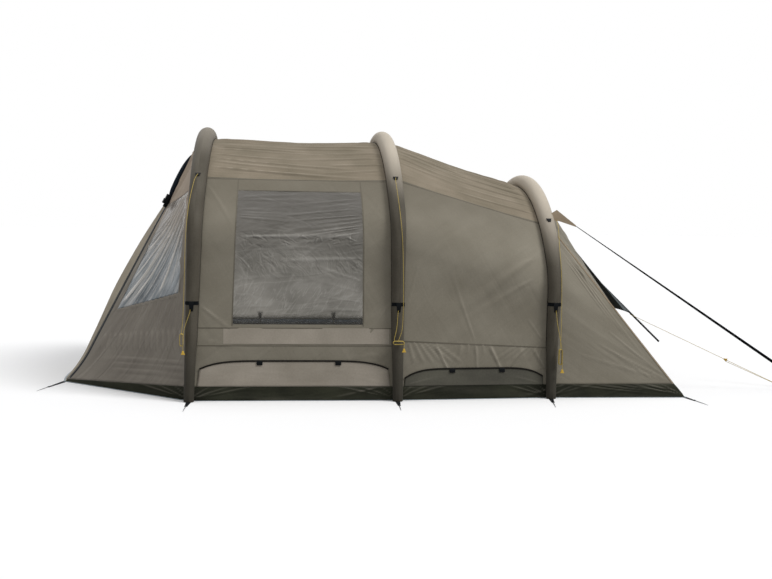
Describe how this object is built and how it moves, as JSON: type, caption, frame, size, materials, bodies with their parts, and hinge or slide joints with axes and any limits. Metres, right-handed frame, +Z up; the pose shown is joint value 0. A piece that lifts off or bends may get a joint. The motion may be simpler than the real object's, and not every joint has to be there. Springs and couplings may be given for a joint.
{
  "type": "inflatable tent",
  "caption": "Tunnel tent held up by inflatable arched beams, with a front porch, side windows, low vent flaps and a sloping rear end.",
  "frame": {"origin": "on the floor, under the middle of the tent with its corner pegs and hood strut", "axes": "-X out of the front door, -Y to the left of someone looking out of it, +Z up"},
  "size_m": [6.1702, 3.7798, 2.05],
  "materials": {
    "sleeve": "matte woven polyester sleeve",
    "bladder": "translucent air bladder film",
    "fitting": "black moulded plastic",
    "roof": "coated polyester, taupe",
    "wall": "coated polyester, grey-brown",
    "wing": "coated polyester, dark taupe",
    "film": "clear window film",
    "door": "coated polyester, taupe",
    "vent": "coated polyester flap with piping",
    "mudwall": "charcoal coated polyester",
    "groundsheet": "polyethylene sheet and webbing",
    "curtain": "navy polyester",
    "hood": "dark polyester",
    "cabin": "breathable polyester",
    "webbing": "black webbing",
    "cord": "braided yellow cord",
    "runner": "yellow plastic",
    "steel": "wire"
  },
  "bodies": {
    "tent": {"beam_sleeve_front": "sleeve", "air_tube_front": "bladder", "guy_line_front": "cord", "guy_hank_front": "cord", "guy_runner_front": "runner", "foot_peg_front_left": "steel", "foot_peg_front_right": "steel", "beam_sleeve_middle": "sleeve", "air_tube_middle": "bladder", "guy_line_middle": "cord", "guy_hank_middle": "cord", "guy_runner_middle": "runner", "foot_peg_middle_left": "steel", "foot_peg_middle_right": "steel", "beam_sleeve_rear": "sleeve", "air_tube_rear": "bladder", "guy_line_rear": "cord", "guy_hank_rear": "cord", "guy_runner_rear": "runner", "foot_peg_rear_left": "steel", "foot_peg_rear_right": "steel", "wall_front_left": "wall", "wall_rear_left": "wall", "wing_left": "wing", "side_window_left": "film", "wing_window_left": "film", "mudwall_left": "mudwall", "corner_peg_front_left": "steel", "corner_peg_rear_left": "steel", "curtain_roll_left": "curtain", "wall_front_right": "wall", "wall_rear_right": "wall", "wing_right": "wing", "side_window_right": "film", "wing_window_right": "film", "mudwall_right": "mudwall", "corner_peg_front_right": "steel", "corner_peg_rear_right": "steel", "curtain_roll_right": "curtain", "roof_front": "roof", "roof_rear": "roof", "rear_end": "wall", "groundsheet": "groundsheet", "storm_strap": "webbing", "storm_peg": "steel", "vent_guy": "cord", "vent_guy_peg": "steel", "sleeping_cabin": "cabin"},
    "door": {"front_door": "door"},
    "low_vent_front_left": {"low_vent_front_left": "vent"},
    "low_vent_front_right": {"low_vent_front_right": "vent"},
    "low_vent_rear_left": {"low_vent_rear_left": "vent"},
    "low_vent_rear_right": {"low_vent_rear_right": "vent"},
    "hood": {"vent_hood": "hood"},
    "zip_puller_left": {"zip_puller_left": "fitting"},
    "zip_puller_right": {"zip_puller_right": "fitting"},
    "valve_cap_front": {"valve_cap_front": "fitting"},
    "valve_cap_middle": {"valve_cap_middle": "fitting"},
    "valve_cap_rear": {"valve_cap_rear": "fitting"},
    "guy_runner": {"vent_guy_runner": "runner"}
  },
  "joints": [
    {"name": "door_hinge", "type": "hinge", "parent": "tent", "child": "door", "pos_m": [-1.4625, 0, 1.805], "axis": [0, 1, 0], "range_deg": [0, 60]},
    {"name": "low_vent_front_left_hinge", "type": "hinge", "parent": "tent", "child": "low_vent_front_left", "pos_m": [-0.68324, -1.45551, 0.10092], "axis": [1, 0, 0], "range_deg": [0, 115]},
    {"name": "low_vent_front_right_hinge", "type": "hinge", "parent": "tent", "child": "low_vent_front_right", "pos_m": [-0.68324, 1.45551, 0.10092], "axis": [-1, 0, 0], "range_deg": [0, 115]},
    {"name": "low_vent_rear_left_hinge", "type": "hinge", "parent": "tent", "child": "low_vent_rear_left", "pos_m": [0.6354, -1.40707, 0.09993], "axis": [0.9965, 0.0836, -0.0017], "range_deg": [0, 115]},
    {"name": "low_vent_rear_right_hinge", "type": "hinge", "parent": "tent", "child": "low_vent_rear_right", "pos_m": [0.6354, 1.40707, 0.09993], "axis": [-0.9965, 0.0836, 0.0017], "range_deg": [0, 115]},
    {"name": "hood_hinge", "type": "hinge", "parent": "tent", "child": "hood", "pos_m": [1.63303, 0, 1.14105], "axis": [0, 1, 0], "range_deg": [0, 8]},
    {"name": "zip_puller_left_slide", "type": "slide", "parent": "tent", "child": "zip_puller_left", "axis": [-0.4608, -0.0114, -0.8874], "range_m": [0, 1.2]},
    {"name": "zip_puller_right_slide", "type": "slide", "parent": "tent", "child": "zip_puller_right", "axis": [-0.4608, 0.0114, -0.8874], "range_m": [0, 1.2]},
    {"name": "valve_cap_front_slide", "type": "slide", "parent": "tent", "child": "valve_cap_front", "axis": [0, 0.9946, 0.1041], "range_m": [0, 0.03]},
    {"name": "valve_cap_middle_slide", "type": "slide", "parent": "tent", "child": "valve_cap_middle", "axis": [0, 0.9946, 0.1041], "range_m": [0, 0.03]},
    {"name": "valve_cap_rear_slide", "type": "slide", "parent": "tent", "child": "valve_cap_rear", "axis": [0, 0.9909, 0.1348], "range_m": [0, 0.03]},
    {"name": "guy_runner_slide", "type": "slide", "parent": "tent", "child": "guy_runner", "axis": [-0.6913, 0.6271, 0.3589], "range_m": [0, 0.5]}
  ]
}
